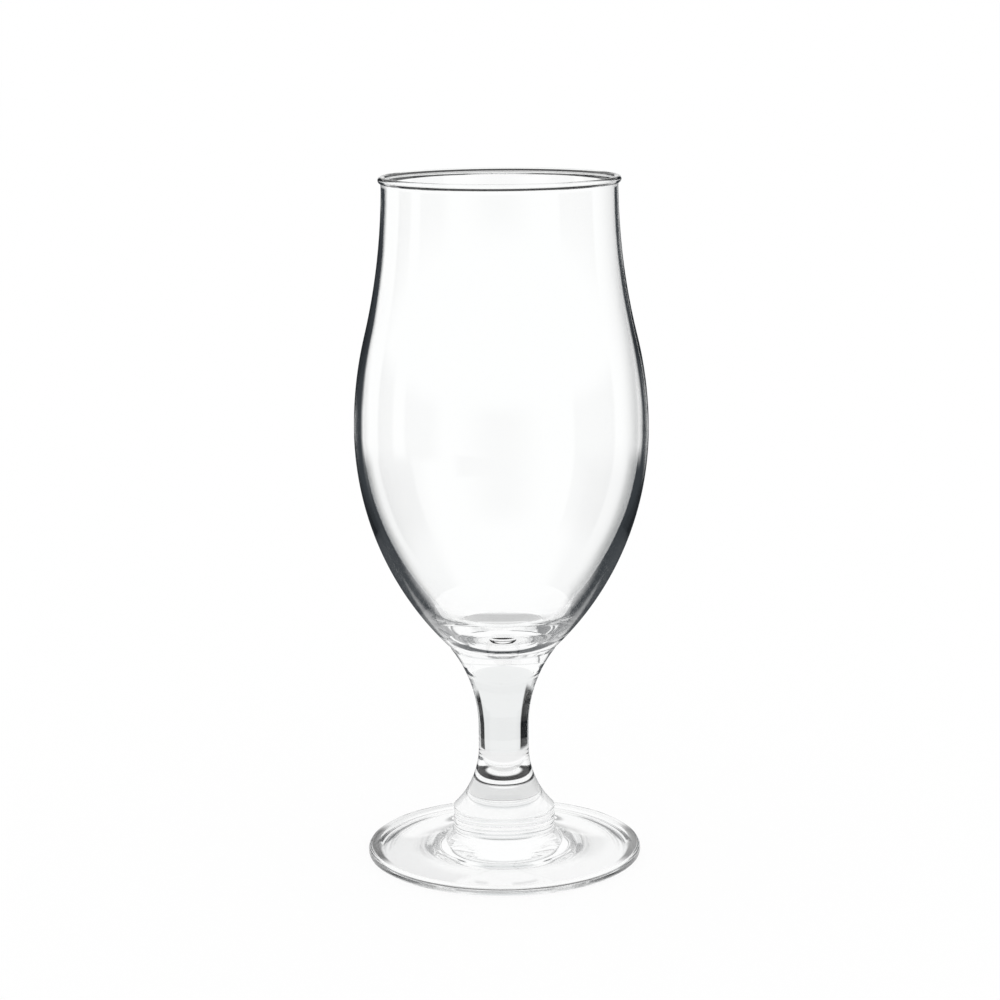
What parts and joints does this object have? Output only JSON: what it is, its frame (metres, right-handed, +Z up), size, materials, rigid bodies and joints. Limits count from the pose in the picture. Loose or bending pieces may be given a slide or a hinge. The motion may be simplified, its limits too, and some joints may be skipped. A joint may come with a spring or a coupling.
{
  "type": "stemmed beer glass",
  "caption": "Clear stemmed beer glass: a tulip bowl with a rounded rim, hot-welded to a solid waisted stem on a round foot, for serving and drinking beer.",
  "frame": {"origin": "on the table, under the middle of the foot", "axes": "+Z up along the glass's axis of revolution, +X to the right and +Y away from the viewer in the picture"},
  "size_m": [0.078, 0.078, 0.1838],
  "materials": {
    "glass": "clear, fire-polished"
  },
  "bodies": {
    "root": {"bowl": "glass", "stem": "glass", "foot": "glass"}
  },
  "joints": []
}
